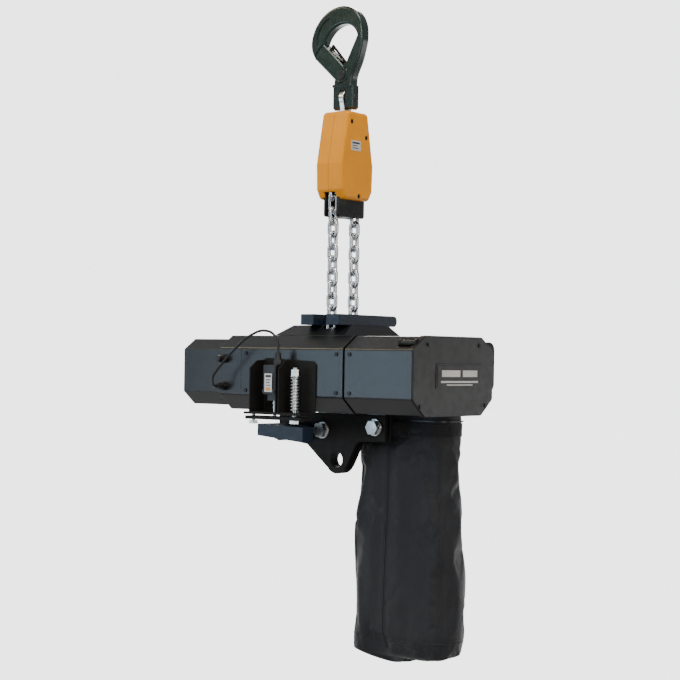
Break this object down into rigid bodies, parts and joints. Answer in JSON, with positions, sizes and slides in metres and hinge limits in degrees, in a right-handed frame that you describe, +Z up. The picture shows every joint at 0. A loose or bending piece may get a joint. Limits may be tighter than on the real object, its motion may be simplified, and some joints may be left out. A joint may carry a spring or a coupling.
{
  "type": "chain hoist",
  "caption": "Climbing electric chain hoist hung from a self-locking hook: yellow hook block, two chain falls, black octagonal body, overload switch, suspension eye and fabric chain bag.",
  "frame": {"origin": "load point at the inner bowl of the top hook", "axes": "+Z up the load line, +X along the hoist body towards the controls, +Y to the back of the body"},
  "size_m": [0.663, 0.372, 1.4535],
  "materials": {
    "hook_paint": "satin dark green forged paint",
    "dark_steel": "dark oiled steel",
    "zinc": "bright zinc plate",
    "bright_steel": "machined steel",
    "yellow_paint": "satin yellow paint on cast shells",
    "brass": "bearing bronze",
    "chain_zinc": "bright zinc-plated chain",
    "rubber": "black rubber",
    "black_coat": "black textured powder coat",
    "black_cap": "black powder coat",
    "black_steel": "black screws",
    "black_rail": "satin black steel bar",
    "aluminium": "cast aluminium",
    "electric_plastic": "grey moulded plastic",
    "switch_plastic": "black moulded plastic",
    "cable_sheath": "black cable sheath",
    "bag_fabric": "black woven nylon"
  },
  "bodies": {
    "hook": {"hook_forging": "hook_paint", "gate_pivot_pin": "dark_steel", "clevis_pin": "dark_steel"},
    "gate": {"hook_gate": "hook_paint", "trigger_pin": "dark_steel"},
    "trigger": {"gate_trigger": "dark_steel"},
    "swivel": {"swivel_eye": "zinc", "swivel_nut": "zinc", "thrust_bearing": "bright_steel"},
    "block": {"block_crosshead": "dark_steel", "block_shell_left": "yellow_paint", "block_shell_right": "yellow_paint", "block_screws": "dark_steel", "sheave_axle": "bright_steel", "chain_over_sheave": "chain_zinc", "block_buffer": "rubber"},
    "sheave": {"block_sheave": "dark_steel", "sheave_bush": "brass"},
    "hoist": {"chain_running_fall": "chain_zinc", "chain_dead_fall": "chain_zinc", "chain_anchor_pin": "bright_steel", "centre_cover": "black_coat", "motor_cover": "black_coat", "brake_cover": "black_coat", "control_cover": "black_coat", "end_cap": "black_cap", "name_plate": "black_cap", "carry_handles": "rubber", "cover_screws": "black_steel", "chain_throat": "black_coat", "guide_rail_left": "black_rail", "guide_rail_right": "black_rail", "gear_housing": "aluminium", "stator": "dark_steel", "bearings": "bright_steel", "brake_coil": "dark_steel", "control_electronics": "electric_plastic", "suspension_plate_front": "black_coat", "suspension_plate_rear": "black_coat", "suspension_bush": "bright_steel", "suspension_bolts": "zinc", "suspension_nuts": "zinc", "switch_bracket": "black_coat", "limit_switch": "switch_plastic", "cable_glands": "switch_plastic", "switch_cable": "cable_sheath", "lever_block": "black_rail", "lever_fasteners": "zinc", "overload_spring": "zinc", "bag_hanger": "dark_steel"},
    "wheel": {"chain_wheel": "bright_steel", "output_gear": "bright_steel"},
    "layshaft": {"intermediate_gear": "bright_steel"},
    "rotor": {"rotor": "bright_steel", "brake_disc": "dark_steel"},
    "lever": {"load_lever": "black_coat", "spring_bolt": "zinc"},
    "plunger": {"switch_plunger": "bright_steel"},
    "bag": {"chain_bag": "bag_fabric", "bag_frame": "dark_steel"}
  },
  "joints": [
    {"name": "gate_open", "type": "hinge", "parent": "hook", "child": "gate", "pos_m": [-0.002, 0, -0.113], "axis": [0, -1, 0], "range_deg": [0, 38]},
    {"name": "trigger_press", "type": "hinge", "parent": "gate", "child": "trigger", "pos_m": [-0.0355, 0, -0.0825], "axis": [0, -1, 0], "range_deg": [0, 2], "stiffness_Nm_per_rad": 0.5, "springref_deg": -2.86},
    {"name": "eye_swing", "type": "hinge", "parent": "hook", "child": "swivel", "pos_m": [0, 0, -0.165], "axis": [1, 0, 0], "range_deg": [-25, 25]},
    {"name": "block_swivel", "type": "hinge", "parent": "swivel", "child": "block", "pos_m": [0, 0, -0.215], "axis": [0, 0, 1], "continuous": true},
    {"name": "sheave_spin", "type": "hinge", "parent": "block", "child": "sheave", "pos_m": [0, 0, -0.326], "axis": [1, 0, 0], "continuous": true},
    {"name": "hoist_travel", "type": "slide", "parent": "block", "child": "hoist", "axis": [0, 0, -1], "range_m": [0, 0.06]},
    {"name": "wheel_spin", "type": "hinge", "parent": "hoist", "child": "wheel", "pos_m": [0, 0.006, -0.775], "axis": [1, 0, 0], "continuous": true},
    {"name": "layshaft_spin", "type": "hinge", "parent": "hoist", "child": "layshaft", "pos_m": [0, 0.06725, -0.775], "axis": [1, 0, 0], "continuous": true},
    {"name": "rotor_spin", "type": "hinge", "parent": "hoist", "child": "rotor", "pos_m": [0, 0.006, -0.775], "axis": [1, 0, 0], "continuous": true},
    {"name": "lever_dip", "type": "hinge", "parent": "hoist", "child": "lever", "pos_m": [-0.128, -0.148, -0.8755], "axis": [0, 1, 0], "range_deg": [0, 2.5], "stiffness_Nm_per_rad": 60, "springref_deg": -17.19, "deforming": ["overload_spring"]},
    {"name": "plunger_push", "type": "slide", "parent": "hoist", "child": "plunger", "axis": [0, 0, -1], "range_m": [0, 0.003]},
    {"name": "bag_swing", "type": "hinge", "parent": "hoist", "child": "bag", "pos_m": [0.128, 0.0895, -0.869], "axis": [0, 1, 0], "range_deg": [-4, 4]}
  ],
  "couplings": [
    {"joint": "sheave_spin", "follows": "hoist_travel", "rad_per_m": 26.316},
    {"joint": "wheel_spin", "follows": "hoist_travel", "rad_per_m": 45.455},
    {"joint": "layshaft_spin", "follows": "hoist_travel", "rad_per_m": -153.41},
    {"joint": "rotor_spin", "follows": "hoist_travel", "rad_per_m": 613.64},
    {"joint": "plunger_push", "follows": "lever_dip", "m_per_rad": 0.063}
  ]
}
